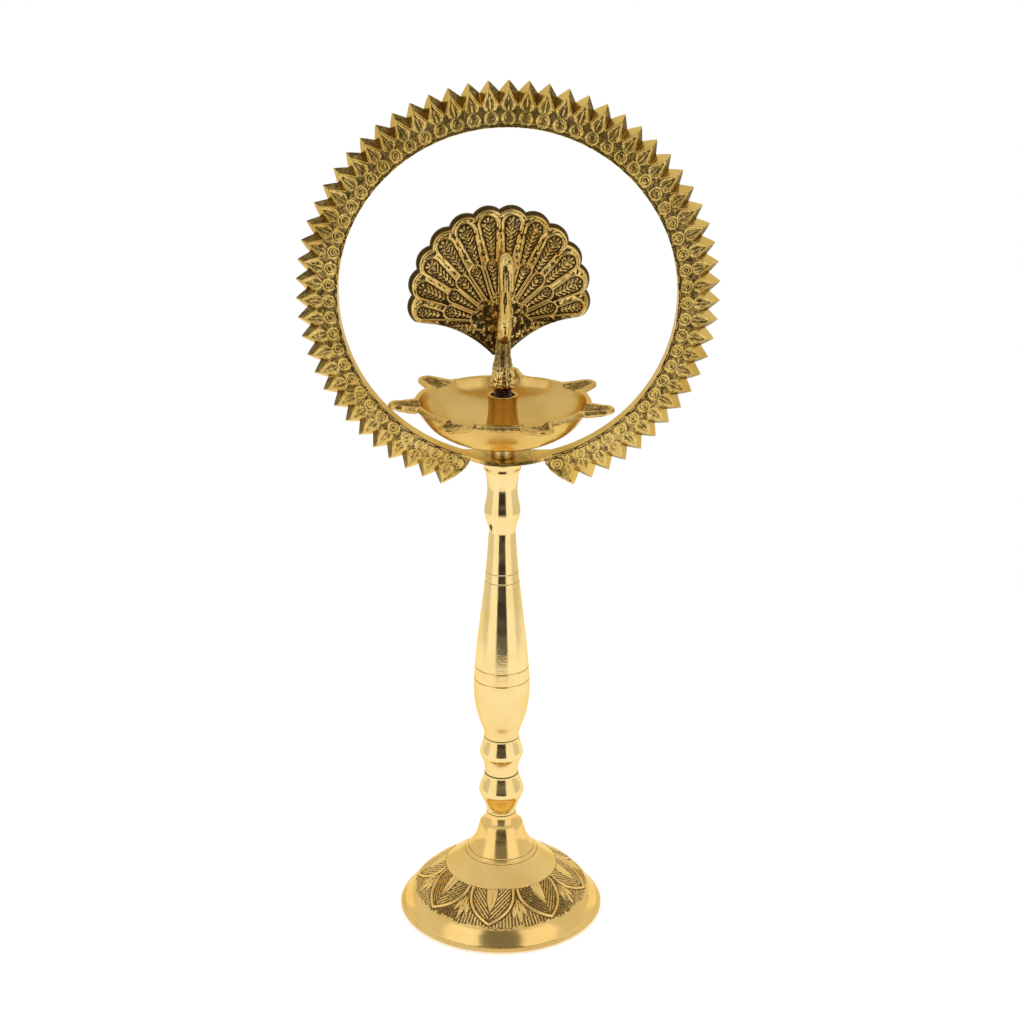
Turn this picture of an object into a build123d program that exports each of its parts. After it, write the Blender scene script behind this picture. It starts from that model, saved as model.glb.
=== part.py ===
from build123d import *
import math
import os

# Brass samai: a standing oil lamp with a seven-spout dish, a toothed aura ring and a peacock finial.
# Millimetres, +Z up. The origin is on the lamp's axis, on the surface that it stands on.
# The front of the lamp looks along -Y, and the aura ring lies in the XZ plane.

# Heights of the faces where the stacked pieces meet
NECK_TOP = 47.4
LOWER_BEAD_TOP = 67.3
UPPER_BEAD_TOP = 85.5
STEM_TOP = 216.5
SHELF_TOP = 218.2
SPACER_TOP = 223.5
DISH_SEAT = 226.0
DISH_RIM = 243.8
COLLAR_TOP = 246.0
PEACOCK_FOOT = 249.5
FACE_GAP = 0.05

# Studs and their bores. The foot and its washer have more room round the rod.
ROD_R = 3.0
ROD_LOW = 24.0
ROD_TOP = 100.0
ROD_BORE_R = 3.06
ROD_HOLE_R = 3.3
STUD_R = 3.0
STUD_LOW = 204.0
STUD_TOP = 235.5
STUD_BORE_R = 3.06
FINIAL_R = 3.9
FINIAL_LOW = 238.3
FINIAL_TOP = 258.0
FINIAL_BORE_R = 3.96

# Small turned and bought pieces
SPACER_R = 5.15
WASHER_R = 6.2
WASHER_THICK = 1.6
NUT_HALF_FLATS = 5.0
NUT_HEIGHT = 5.0

# Bell foot
FOOT_R = 46.3
FOOT_LIP = 1.2
FOOT_REST_R = 44.7
FOOT_REST_INNER_R = 43.1
FOOT_ROOF = 33.0

# Aura ring: a toothed band around a round opening, open at the bottom but for a thin shelf.
# The band stands a little to the right of the column's axis, and its shelf is centred on it.
RING_SHIFT = 2.0
RING_CENTRE = 288.8
RING_INNER_R = RING_CENTRE - SHELF_TOP
RING_TIP_R = 88.7
RING_ROOT_R = 83.6
RING_TEETH = 61
RING_PITCH = 5.37
RING_BACK = 1.8
RING_TOOTH_FRONT = -1.7
RING_INNER_FRONT = -5.5
SHELF_THICK = SHELF_TOP - STEM_TOP - FACE_GAP
SHELF_HALF_LENGTH = 19.0
SHELF_HALF_DEPTH = 9.2

# Dish and its spouts, counted anticlockwise from +X as seen from above
DISH_R = 37.4
DISH_WALL = 1.9
SPOUTS = 7
FIRST_SPOUT = 35.0
SPOUT_TIP_R = 48.8
SPOUT_HALF_WIDTH = 6.2
SPOUT_TIP_HALF_WIDTH = 4.2
TROUGH_WALL = 2.0
TROUGH_DEPTH = 2.6

# Peacock finial
PEACOCK_YAW = 10.0
TAIL_CENTRE = 286.0
TAIL_FRONT = 6.5
TAIL_THICK = 3.6
TAIL_LOBES = 12
TAIL_LOBE_PITCH = 17.4
TAIL_TIP_R = 39.2
TAIL_NOTCH_R = 37.2
TAIL_LOW_POINT = 261.0


def turned(edges):
    """Full turn of a closed half outline that lies in the XZ plane."""
    return revolve(Plane.XZ * make_face(edges), Axis.Z)


def rod(radius, low, high):
    return Pos(0, 0, (low + high) / 2) * Cylinder(radius, high - low)


def ball(centre, radii):
    """Ellipsoid, made by scaling a unit sphere."""
    return Pos(*centre) * scale(Sphere(1), by=radii)


def base():
    """Hollow bell foot: a trumpet-shaped cone that opens into a domed skirt."""
    lip = Polyline((FOOT_REST_INNER_R, 0), (FOOT_REST_R, 0), (FOOT_R, FOOT_LIP))
    skirt = Spline((FOOT_R, FOOT_LIP), (42.9, 5.0), (38.0, 11.0), (25.4, 21.0))
    cone = Spline((25.4, 21.0), (18.0, 27.0), (14.2, 31.0), (11.8, 35.0), (10.3, 40.0), (9.6, 42.1))
    neck = Spline((9.6, 42.1), (8.5, 43.3), (7.3, 45.1), (6.8, NECK_TOP))
    inner = Polyline((6.8, NECK_TOP), (0, NECK_TOP), (0, FOOT_ROOF), (8.0, FOOT_ROOF), (11.2, 29.5))
    cavity = Spline((11.2, 29.5), (15.4, 24.8), (23.5, 18.2), (35.4, 8.6), (FOOT_REST_INNER_R, 0))
    body = turned(lip + skirt + cone + neck + inner + cavity)
    return body - rod(ROD_HOLE_R, FOOT_ROOF - 1, NECK_TOP + 1)


def base_washer():
    low = FOOT_ROOF - WASHER_THICK
    return rod(WASHER_R, low, FOOT_ROOF) - rod(ROD_HOLE_R, low - 1, FOOT_ROOF + 1)


def base_nut():
    """Hexagon nut, 10 mm across flats, that pulls the foot up against the column."""
    top = FOOT_ROOF - WASHER_THICK
    hexagon = RegularPolygon(radius=NUT_HALF_FLATS, side_count=6, major_radius=False)
    nut = extrude(Pos(0, 0, top - NUT_HEIGHT) * hexagon, NUT_HEIGHT)
    return nut - rod(ROD_R, top - NUT_HEIGHT - 1, top + 1)


def tie_rod():
    """Threaded rod through the foot and both beads, up into the column. Threads are left plain."""
    body = rod(ROD_R, ROD_LOW, ROD_TOP)
    return chamfer(body.edges().filter_by(GeomType.CIRCLE), 0.5)


def bead(low, high, points):
    """Turned bead: its outline swells from one joint face to a rounded ridge and back."""
    side = Spline(*points)
    first = points[0]
    last = points[-1]
    closing = Polyline(last, (last[0], high), (ROD_BORE_R, high), (ROD_BORE_R, low), (first[0], low), first)
    return turned(side + closing)


def lower_bead():
    low = NECK_TOP + FACE_GAP
    points = [(6.6, 48.2), (7.3, 51.0), (8.5, 54.2), (9.9, 57.0), (10.25, 59.3), (9.5, 61.8), (7.8, 66.4)]
    return bead(low, LOWER_BEAD_TOP, points)


def upper_bead():
    low = LOWER_BEAD_TOP + FACE_GAP
    points = [(7.4, 68.2), (8.1, 72.2), (9.25, 75.4), (9.85, 78.2), (8.9, 81.4), (8.0, 84.6)]
    return bead(low, UPPER_BEAD_TOP, points)


def stem():
    """Turned baluster: a pear-shaped belly, a long taper, a ring bulge and a flared top."""
    low = UPPER_BEAD_TOP + FACE_GAP
    bottom = (7.9, 87.6)
    shoulder = (11.5, 127.4)
    foot = Line((7.9, low), bottom)
    belly = Spline(bottom, (9.9, 93.4), (11.5, 99.4), (12.5, 107.0), (12.5, 113.0), (11.9, 122.0), shoulder)
    taper = Spline(shoulder, (9.6, 144.7), (8.1, 157.6), (6.75, 171.7), (5.85, 184.5))
    bulge = Spline((5.85, 184.5), (6.7, 188.5), (7.8, 194.0), (6.7, 199.6), (6.5, 204.0))
    flare = Spline((6.5, 204.0), (6.9, 209.2), (7.6, 212.4))
    lip = Polyline((7.6, 212.4), (8.0, 212.6), (8.0, STEM_TOP), (0, STEM_TOP), (0, low), (7.9, low))
    body = turned(foot + belly + taper + bulge + flare + lip)
    body -= rod(ROD_BORE_R, low - 1, ROD_TOP + 4)
    return body - rod(STUD_BORE_R, STUD_LOW - 2, STEM_TOP + 1)


def upper_stud():
    """Threaded stud that stands in the column and carries the ring, the dish and the collar."""
    body = rod(STUD_R, STUD_LOW, STUD_TOP)
    return chamfer(body.edges().filter_by(GeomType.CIRCLE), 0.4)


def spacer():
    """Short turned tube between the ring's shelf and the dish."""
    return rod(SPACER_R, SHELF_TOP + FACE_GAP, SPACER_TOP) - rod(STUD_R, SHELF_TOP - 1, SPACER_TOP + 1)


def ring_point(radius, angle):
    """Point of the ring's plane, with the angle in degrees anticlockwise from +X."""
    turn = math.radians(angle)
    return (radius * math.cos(turn), radius * math.sin(turn))


def ring_plate():
    """Toothed plate. A broad leaf closes it at each end, beside the shelf."""
    half_span = RING_PITCH * (RING_TEETH - 1) / 2
    first = 90 - half_span
    leaf = [(1.2, 87.2), (3.4, 83.6), (5.2, 79.4), (6.0, 76.0), (6.2, RING_INNER_R + SHELF_THICK)]
    outer = [ring_point(radius, first - angle) for angle, radius in reversed(leaf)]
    for tooth in range(RING_TEETH):
        middle = first + tooth * RING_PITCH
        outer.append(ring_point(RING_TIP_R, middle))
        if tooth < RING_TEETH - 1:
            outer.append(ring_point(RING_ROOT_R, middle + RING_PITCH / 2))
    last = 90 + half_span
    outer += [ring_point(radius, last + angle) for angle, radius in leaf]
    end_in = ring_point(RING_INNER_R, last + leaf[-1][0])
    end_out = ring_point(RING_INNER_R, first - leaf[-1][0])
    side = Polyline(end_out, *outer, end_in)
    opening = ThreePointArc(end_in, (0, RING_INNER_R), end_out)
    plane = Plane(origin=(0, RING_BACK, RING_CENTRE), x_dir=(1, 0, 0), z_dir=(0, -1, 0))
    return extrude(plane * make_face(side + opening), RING_BACK - RING_TOOTH_FRONT)


def ring_collar():
    """The band's sloping front, which stands proudest at the opening."""
    points = [
        (RING_INNER_R, RING_INNER_FRONT),
        (RING_INNER_R, RING_BACK),
        (RING_ROOT_R - 4.2, RING_BACK),
        (RING_ROOT_R - 4.2, RING_TOOTH_FRONT - 1.0),
    ]
    span = RING_PITCH * (RING_TEETH - 1) + 9.0
    section = make_face(Polyline(*[(r, y, 0) for r, y in points], close=True))
    band = revolve(section, Axis.Y, span)
    return Pos(0, 0, RING_CENTRE) * Rot(0, -90 - span / 2, 0) * band


def ring_shelf():
    """Lens-shaped strip that follows the opening's curve and takes the stud."""
    ends = (RING_INNER_FRONT, RING_BACK)
    half = SHELF_HALF_LENGTH
    front = ThreePointArc((-half, ends[0]), (0, -SHELF_HALF_DEPTH), (half, ends[0]))
    right = Line((half, ends[0]), (half, ends[1]))
    back = ThreePointArc((half, ends[1]), (0, SHELF_HALF_DEPTH), (-half, ends[1]))
    left = Line((-half, ends[1]), (-half, ends[0]))
    prism = extrude(Pos(0, 0, STEM_TOP - 10) * make_face(front + right + back + left), 40)
    along = Pos(0, 0, RING_CENTRE) * Rot(90, 0, 0)
    strip = along * (Cylinder(RING_INNER_R + SHELF_THICK, 60) - Cylinder(RING_INNER_R, 62))
    return strip & prism


def prabhavali():
    """The aura ring in one casting, with a spot face on the shelf for the spacer."""
    ring = Pos(RING_SHIFT, 0, 0) * (ring_plate() + ring_collar()) + ring_shelf()
    ring -= rod(SPACER_R + 0.4, SHELF_TOP, SHELF_TOP + 3)
    return ring - rod(STUD_BORE_R, STEM_TOP - 5, SHELF_TOP + 5)


def bowl():
    """Spun bowl with a flat seat for the collar and a thickened rim."""
    low = SPACER_TOP + FACE_GAP
    rim_in = DISH_R - DISH_WALL
    seat = Polyline((0, low), (7.0, low))
    outside = Spline((7.0, low), (15.0, 225.3), (24.0, 228.4), (31.0, 233.0), (35.4, 238.6), (37.0, 241.2))
    rim = Polyline((37.0, 241.2), (DISH_R + 0.4, 241.4), (DISH_R + 0.4, DISH_RIM), (rim_in, DISH_RIM))
    floor_edge = (9.0, DISH_SEAT)
    rim_edge = (rim_in, DISH_RIM)
    inside = Spline(rim_edge, (33.6, 239.0), (29.4, 234.2), (22.8, 230.0), (14.6, 227.1), floor_edge)
    floor = Polyline(floor_edge, (0, DISH_SEAT), (0, low))
    return turned(seat + outside + rim + inside + floor)


def spout_plan(half_width, tip_half_width, tip):
    """Plan of a spout that points along +X, from inside the rim to its round tip."""
    root = DISH_R - 4.0
    turn = tip - tip_half_width
    start = Line((root, -half_width), (turn, -tip_half_width))
    nose = ThreePointArc((turn, -tip_half_width), (tip, 0), (turn, tip_half_width))
    back = Polyline((turn, tip_half_width), (root, half_width), (root, -half_width))
    return make_face(start + nose + back)


def spout():
    """Shallow open trough for a wick, with a sloping underside."""
    low = DISH_RIM - 5.4
    plan = spout_plan(SPOUT_HALF_WIDTH, SPOUT_TIP_HALF_WIDTH, SPOUT_TIP_R)
    block = extrude(Pos(0, 0, low) * plan, DISH_RIM - low)
    wedge = Polyline((30, low - 1), (56, low - 1), (56, low + 3.4), (37, low), (30, low), (30, low - 1))
    wedge_plane = Plane(origin=(0, 20, 0), x_dir=(1, 0, 0), z_dir=(0, -1, 0))
    block -= extrude(wedge_plane * make_face(wedge), 40)
    return block


def trough():
    """The space that a wick lies in, open at the top and towards the bowl."""
    half_width = SPOUT_HALF_WIDTH - TROUGH_WALL
    plan = spout_plan(half_width, SPOUT_TIP_HALF_WIDTH - TROUGH_WALL + 0.4, SPOUT_TIP_R - TROUGH_WALL)
    return extrude(Pos(0, 0, DISH_RIM - TROUGH_DEPTH) * plan, TROUGH_DEPTH + 2)


def oil_dish():
    """Bowl and spouts in one casting. The bowl's inside stays open behind each spout."""
    dish = bowl()
    inside = rod(DISH_R - DISH_WALL - 0.6, DISH_RIM - 8, DISH_RIM + 1)
    arm = spout() - inside
    gap = trough()
    for index in range(SPOUTS):
        turn = Rot(0, 0, FIRST_SPOUT + index * 360 / SPOUTS)
        dish = dish + turn * arm - turn * gap
    return dish - rod(STUD_BORE_R, SPACER_TOP - 2, DISH_RIM)


def collar():
    """Waisted nut: it clamps the dish, and its upper bore takes the finial's stud."""
    low = DISH_SEAT + FACE_GAP
    foot = Line((9.2, low), (9.2, low + 1.0))
    side = Spline((9.2, low + 1.0), (7.6, 231.0), (6.4, 237.0), (5.95, 242.0), (6.5, COLLAR_TOP))
    top = Polyline((6.5, COLLAR_TOP), (0, COLLAR_TOP), (0, low), (9.2, low))
    body = turned(foot + side + top)
    body -= rod(STUD_BORE_R, low - 1, STUD_TOP + 0.5)
    body -= rod(FINIAL_BORE_R, FINIAL_LOW - 0.3, COLLAR_TOP + 1)
    return body - rod(5.2, COLLAR_TOP - 1.2, COLLAR_TOP + 1)


def finial_stud():
    """Steel stud under the peacock. Threads are left plain."""
    body = rod(FINIAL_R, FINIAL_LOW, FINIAL_TOP)
    return chamfer(body.edges().filter_by(GeomType.CIRCLE), 0.4)


def taper(start, end, start_r, end_r):
    """Round tapered bar between two points."""
    way = Vector(*end) - Vector(*start)
    plane = Plane(origin=Vector(*start) + way / 2, z_dir=way)
    return plane * Cone(start_r, end_r, way.length)


def peacock_body():
    """Slim bird on a flared foot, with an S-shaped neck and a heavy head that looks down."""
    edge = Spline((5.8, PEACOCK_FOOT), (5.0, 254.0), (3.9, 259.0), (3.3, 264.0))
    close = Polyline((3.3, 264.0), (0, 264.0), (0, PEACOCK_FOOT), (5.8, PEACOCK_FOOT))
    bird = turned(edge + close)
    bird += taper((0, 0, 262), (0, -1.5, 272), 3.4, 3.2)
    bird += ball((0, 0.8, 274.5), (3.6, 9.0, 7.0))
    bird += taper((0, -4.0, 276), (0, -6.2, 286), 3.3, 2.7) + ball((0, -6.2, 286), (2.7, 2.7, 2.7))
    bird += taper((0, -6.2, 286), (0, -4.6, 299), 2.7, 2.6)
    bird += ball((0, -6.4, 302.5), (3.2, 5.0, 4.6))
    bird += taper((0, -8.0, 302.0), (0, -12.6, 292.8), 3.6, 2.2)
    bird -= Pos(0, TAIL_FRONT + 10, 280) * Box(40, 20, 80)
    bird -= rod(FINIAL_BORE_R, PEACOCK_FOOT - 1, FINIAL_TOP + 0.2)
    return Rot(0, 0, PEACOCK_YAW) * bird


def tail_point(radius, angle):
    turn = math.radians(angle)
    return (radius * math.cos(turn), TAIL_CENTRE + radius * math.sin(turn))


def peacock_tail():
    """Fan with twelve round lobes and a hollow-sided lower edge that comes to a blunt point."""
    first = 90 - TAIL_LOBES / 2 * TAIL_LOBE_PITCH
    outline = None
    for lobe in range(TAIL_LOBES):
        start = first + lobe * TAIL_LOBE_PITCH
        low = tail_point(TAIL_NOTCH_R, start)
        tip = tail_point(TAIL_TIP_R, start + TAIL_LOBE_PITCH / 2)
        high = tail_point(TAIL_NOTCH_R, start + TAIL_LOBE_PITCH)
        arc = ThreePointArc(low, tip, high)
        outline = arc if outline is None else outline + arc
    right = tail_point(TAIL_NOTCH_R, first)
    left = (-right[0], right[1])
    outline += ThreePointArc(left, (-17.0, 271.6), (-3.0, TAIL_LOW_POINT))
    outline += Line((-3.0, TAIL_LOW_POINT), (3.0, TAIL_LOW_POINT))
    outline += ThreePointArc((3.0, TAIL_LOW_POINT), (17.0, 271.6), right)
    plane = Plane(origin=(0, TAIL_FRONT + TAIL_THICK, 0), x_dir=(1, 0, 0), z_dir=(0, -1, 0))
    return Rot(0, 0, PEACOCK_YAW) * extrude(plane * make_face(outline), TAIL_THICK)


PARTS = {
    "base": base,
    "base_washer": base_washer,
    "base_nut": base_nut,
    "tie_rod": tie_rod,
    "lower_bead": lower_bead,
    "upper_bead": upper_bead,
    "stem": stem,
    "upper_stud": upper_stud,
    "spacer": spacer,
    "prabhavali": prabhavali,
    "oil_dish": oil_dish,
    "collar": collar,
    "finial_stud": finial_stud,
    "peacock_body": peacock_body,
    "peacock_tail": peacock_tail,
}

os.makedirs("parts", exist_ok=True)
for node, make in PARTS.items():
    export_step(make(), f"parts/{node}.step")
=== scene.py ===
import itertools
import math

import bmesh
import bpy
import numpy as np
from mathutils import Matrix, Vector


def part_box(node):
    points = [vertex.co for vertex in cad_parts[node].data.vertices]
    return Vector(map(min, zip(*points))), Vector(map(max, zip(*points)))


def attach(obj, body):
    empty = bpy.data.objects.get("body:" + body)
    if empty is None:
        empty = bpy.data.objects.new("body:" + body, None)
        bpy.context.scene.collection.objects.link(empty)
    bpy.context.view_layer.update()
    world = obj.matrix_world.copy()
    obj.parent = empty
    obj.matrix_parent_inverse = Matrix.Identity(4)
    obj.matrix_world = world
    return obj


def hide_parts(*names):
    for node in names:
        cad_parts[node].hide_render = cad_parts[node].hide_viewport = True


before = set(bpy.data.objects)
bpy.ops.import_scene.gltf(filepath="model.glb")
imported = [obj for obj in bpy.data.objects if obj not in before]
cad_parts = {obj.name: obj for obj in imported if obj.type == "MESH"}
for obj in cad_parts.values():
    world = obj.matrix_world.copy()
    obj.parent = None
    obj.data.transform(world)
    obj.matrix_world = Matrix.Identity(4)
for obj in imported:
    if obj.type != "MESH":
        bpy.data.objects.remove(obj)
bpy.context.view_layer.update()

# Brass samai. Shapes are worked out in millimetres in the CAD frame, and turned into metres
# when a mesh is made. The lamp's axis is Z and its front looks along -Y.
MM = 0.001
FULL_TURN = 2 * math.pi


def low(node):
    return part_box(node)[0].z / MM


def top(node):
    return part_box(node)[1].z / MM


def reach(node):
    """Largest X of a node, which is the outer radius of a turned one."""
    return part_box(node)[1].x / MM


# ---------------------------------------------------------------- mesh helpers


def add_object(name, data):
    """New object in the scene round a mesh or a camera."""
    thing = bpy.data.objects.new(name, data)
    bpy.context.scene.collection.objects.link(thing)
    return thing


def shape_object(name, shape):
    """New object from a bmesh, which is freed."""
    mesh = bpy.data.meshes.new(name)
    shape.to_mesh(mesh)
    shape.free()
    return add_object(name, mesh)


def points_of(mesh):
    """Vertex positions in millimetres."""
    flat = np.zeros(len(mesh.vertices) * 3, np.float32)
    mesh.vertices.foreach_get("co", flat)
    return flat.reshape(-1, 3).astype(float) / MM


def set_points(mesh, points, grime):
    """Writes vertex positions, given in millimetres, and the patina at each."""
    mesh.vertices.foreach_set("co", (points * MM).astype(np.float32).ravel())
    layer = mesh.attributes.get("grime") or mesh.attributes.new("grime", "FLOAT", "POINT")
    layer.data.foreach_set("value", np.clip(grime, 0, 1).astype(np.float32))


def smooth(mesh, sharp):
    """Smooth shading with sharp edges beyond an angle in degrees."""
    mesh.shade_smooth()
    mesh.set_sharp_from_angle(angle=math.radians(sharp))


def make_piece(name, verts, face_sets, grime, sharp=35.0):
    """Closed mesh object from points in millimetres and arrays of faces, with its normals outwards."""
    sizes = np.concatenate([np.full(len(faces), faces.shape[1]) for faces in face_sets])
    corners = np.concatenate([faces.ravel() for faces in face_sets])
    if enclosed(verts, face_sets) < 0:
        corners = np.concatenate([faces[:, ::-1].ravel() for faces in face_sets])
    mesh = bpy.data.meshes.new(name)
    mesh.vertices.add(len(verts))
    mesh.loops.add(len(corners))
    mesh.loops.foreach_set("vertex_index", corners.astype(np.int32))
    mesh.polygons.add(len(sizes))
    mesh.polygons.foreach_set("loop_start", (np.cumsum(sizes) - sizes).astype(np.int32))
    set_points(mesh, verts, grime)
    mesh.update(calc_edges=True)
    mesh.validate()
    smooth(mesh, sharp)
    return add_object(name, mesh)


def enclosed(verts, face_sets):
    """Six times the volume inside the faces, negative when they look inwards."""
    total = 0.0
    for faces in face_sets:
        first = verts[faces[:, 0]]
        for k in range(1, faces.shape[1] - 1):
            cross = np.cross(verts[faces[:, k]], verts[faces[:, k + 1]])
            total += np.einsum("ij,ij->", first, cross)
    return total


def bridge(a_start, a_count, b_start, b_count):
    """Faces between two rings of points. One count is a multiple of the other, or is 1 at a pole."""
    count = min(a_count, b_count)
    if count == 1:
        count = max(a_count, b_count)
        step = np.arange(count)
        ring = b_start if a_count == 1 else a_start
        here, after = ring + step, ring + (step + 1) % count
        pole = np.full(count, a_start if a_count == 1 else b_start)
        return np.stack([pole, after, here] if a_count == 1 else [here, after, pole], axis=1)
    step = np.arange(count)
    a_side = side_of(a_start, a_count, step, a_count // count)
    b_side = side_of(b_start, b_count, step, b_count // count)
    return np.concatenate([a_side, b_side[:, ::-1]], axis=1)


def side_of(start, count, step, per_face):
    """Corners that one ring gives to each face."""
    offsets = np.arange(per_face + 1)
    return start + (step[:, None] * per_face + offsets[None, :]) % count


def join_rings(rings, closed):
    """Verts, face arrays and grime for a stack of rings, each an array of rows x, y, z, grime."""
    counts = [len(ring) for ring in rings]
    starts = np.cumsum(counts) - counts
    pairs = list(zip(range(len(rings) - 1), range(1, len(rings))))
    if closed:
        pairs.append((len(rings) - 1, 0))
    faces = [bridge(starts[a], counts[a], starts[b], counts[b]) for a, b in pairs]
    points = np.concatenate(rings)
    return points[:, :3], faces, points[:, 3]


def curve(points, step):
    """Smooth line through a few points (r, z), as rows about step apart."""
    p = np.array(points, float)
    p = np.vstack([2 * p[0] - p[1], p, 2 * p[-1] - p[-2]])
    rows = []
    for before, start, end, after in zip(p[:-3], p[1:-2], p[2:-1], p[3:]):
        gap = np.linalg.norm(end - start)
        count = max(1, int(math.ceil(gap / step)))
        t = np.arange(count)[:, None] / count
        leave = tangent(before, start, end)
        arrive = tangent(start, end, after)
        rows.append(
            (2 * t**3 - 3 * t**2 + 1) * start
            + (t**3 - 2 * t**2 + t) * gap * leave
            + (3 * t**2 - 2 * t**3) * end
            + (t**3 - t**2) * gap * arrive
        )
    rows.append(p[-2][None])
    return np.vstack(rows)


def tangent(before, here, after):
    """Direction of a smooth line at a point, weighted to its nearer neighbour."""
    left, right = here - before, after - here
    a, b = np.linalg.norm(left), np.linalg.norm(right)
    way = left / a * b + right / b * a
    return way / np.linalg.norm(way)


def length_along(line):
    """Distance along a line at each of its rows."""
    return np.concatenate([[0], np.cumsum(np.linalg.norm(np.diff(line, axis=0), axis=1))])


def height_on(line, radius):
    """Height of a line (r, z) at a radius."""
    return np.interp(radius, line[:, 0], line[:, 1])


def round_turn(columns):
    """Even angles round a full turn."""
    return np.arange(columns) / columns * FULL_TURN


def centred(angle, pitch):
    """Angle from the nearest multiple of a pitch."""
    return (angle + pitch / 2) % pitch - pitch / 2


def normals_of(line):
    """Unit normals to the right of a line's direction of travel."""
    way = np.gradient(line, axis=0)
    way /= np.linalg.norm(way, axis=1)[:, None]
    return np.stack([way[:, 1], -way[:, 0]], axis=1)


def engrave(line, heights, depth, half_width, side=1):
    """V grooves across a line (r, z) at some heights. The third column says how dirty each row is."""
    length = length_along(line)
    order = np.argsort(line[:, 1])
    middles = [np.interp(z, line[order, 1], length[order]) for z in heights]
    extra = [m + half_width * k for m in middles for k in (-1.2, -1, -0.7, -0.35, 0, 0.35, 0.7, 1, 1.2)]
    s = np.unique(np.clip(np.concatenate([length, extra]), 0, length[-1]))
    rows = np.stack([np.interp(s, length, line[:, k]) for k in (0, 1)], axis=1)
    cut = sum(np.clip(1 - np.abs(s - m) / half_width, 0, 1) for m in middles)
    rows -= side * depth * cut[:, None] * normals_of(rows)
    return np.column_stack([rows, cut])


def rows_of(*stretches):
    """One outline from stretches of (r, z) or (r, z, grime) rows."""
    full = []
    for stretch in stretches:
        block = np.atleast_2d(np.array(stretch, float))
        if block.shape[1] == 2:
            block = np.column_stack([block, np.zeros(len(block))])
        full.append(block)
    return np.vstack(full)


def ring_of(r, angle, z, dirt):
    """Points of one ring about Z, as rows x, y, z, grime."""
    return np.column_stack(np.broadcast_arrays(r * np.cos(angle), r * np.sin(angle), z, dirt))


def rings_of(outline, columns):
    """Rings about Z for rows (r, z, grime). A row at radius 0 becomes a pole."""
    angle = round_turn(columns)
    return [ring_of(r, angle if r else angle[:1], z, dirt) for r, z, dirt in outline]


def turned(name, outline, columns, closed):
    """Solid of revolution about Z."""
    return make_piece(name, *join_rings(rings_of(outline, columns), closed))


def lumps(points, size, seed):
    """Smooth random field from -1 to 1 whose lumps are about size across."""
    side = 32
    lattice = np.random.default_rng(seed).uniform(-1, 1, (side, side, side))
    scaled = points / size
    cell = np.floor(scaled).astype(int)
    part = scaled - cell
    part = part * part * (3 - 2 * part)
    total = np.zeros(len(points))
    for corner in itertools.product((0, 1), repeat=3):
        weight = np.prod(np.where(corner, part, 1 - part), axis=1)
        index = (cell + corner) % side
        total += weight * lattice[index[:, 0], index[:, 1], index[:, 2]]
    return total


def ridge(distance, half_width):
    """Rounded ridge, 1 on its line and 0 beyond its half width."""
    return np.clip(1 - (distance / half_width) ** 2, 0, 1)


def rise(x, start, end):
    """Smooth step from 0 at start to 1 at end."""
    t = np.clip((x - start) / (end - start), 0, 1)
    return t * t * (3 - 2 * t)


def dirt_of(height, clean, dirty):
    """Patina that collects where a relief is low: 0 above clean and 1 below dirty."""
    return 1 - rise(height, dirty, clean)


def place(piece, body, slot, material, *nodes):
    """Puts a piece on its body, in place of its CAD nodes, with its finish."""
    piece.data.materials.append(material)
    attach(piece, body)
    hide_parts(*nodes)
    return piece


# ---------------------------------------------------------------- node helpers


class Graph:
    """Adds shader nodes to a tree. Sockets are named with _ for a space; values may be outputs."""

    def __init__(self, tree):
        self.tree = tree
        tree.nodes.clear()

    def add(self, kind, output=0, options=None, **inputs):
        node = self.tree.nodes.new("ShaderNode" + kind)
        for key, value in (options or {}).items():
            setattr(node, key, value)
        for key, value in inputs.items():
            self.feed(node.inputs[key.replace("_", " ")], value)
        return node.outputs[output] if node.outputs else node

    def feed(self, socket, value):
        if isinstance(value, bpy.types.NodeSocket):
            self.tree.links.new(value, socket)
        else:
            socket.default_value = value

    def math(self, operation, *values):
        node = self.tree.nodes.new("ShaderNodeMath")
        node.operation = operation
        for socket, value in zip(node.inputs, values):
            self.feed(socket, value)
        return node.outputs[0]

    def mix(self, factor, first, second):
        """Colour between two colours."""
        node = self.tree.nodes.new("ShaderNodeMix")
        node.data_type = "RGBA"
        for index, value in ((0, factor), (6, first), (7, second)):
            self.feed(node.inputs[index], value)
        return node.outputs[2]

    def span(self, value, start, end, to_start, to_end):
        """Smooth change from to_start to to_end as value goes from start to end."""
        node = self.tree.nodes.new("ShaderNodeMapRange")
        node.interpolation_type = "SMOOTHSTEP"
        for index, item in enumerate((value, start, end, to_start, to_end)):
            self.feed(node.inputs[index], item)
        return node.outputs[0]

    def noise(self, vector, scale, detail=3.0):
        return self.add("TexNoise", Vector=vector, Scale=scale, Detail=detail)


def colour(red, green, blue):
    return (red, green, blue, 1.0)


def new_material(name):
    """Empty material, its graph, and the object's own coordinates in that graph."""
    material = bpy.data.materials.new(name)
    material.use_nodes = True
    graph = Graph(material.node_tree)
    return material, graph, graph.add("TexCoord", output=3)


# ---------------------------------------------------------------- materials

# Light and deep tone of each brass.
TURNED = (colour(0.88, 0.68, 0.32), colour(0.83, 0.61, 0.25))
POLISHED = (colour(0.87, 0.61, 0.22), colour(0.82, 0.54, 0.17))
SATIN = (colour(0.72, 0.49, 0.16), colour(0.62, 0.40, 0.11))
LACQUER = (colour(0.66, 0.42, 0.12), colour(0.54, 0.32, 0.08))
CAST = (colour(0.74, 0.52, 0.16), colour(0.60, 0.39, 0.09))
FEATHER = (colour(0.78, 0.56, 0.20), colour(0.58, 0.37, 0.09))

PATINA = colour(0.052, 0.031, 0.008)
EDGE_TINT = colour(0.92, 0.78, 0.50)


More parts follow.
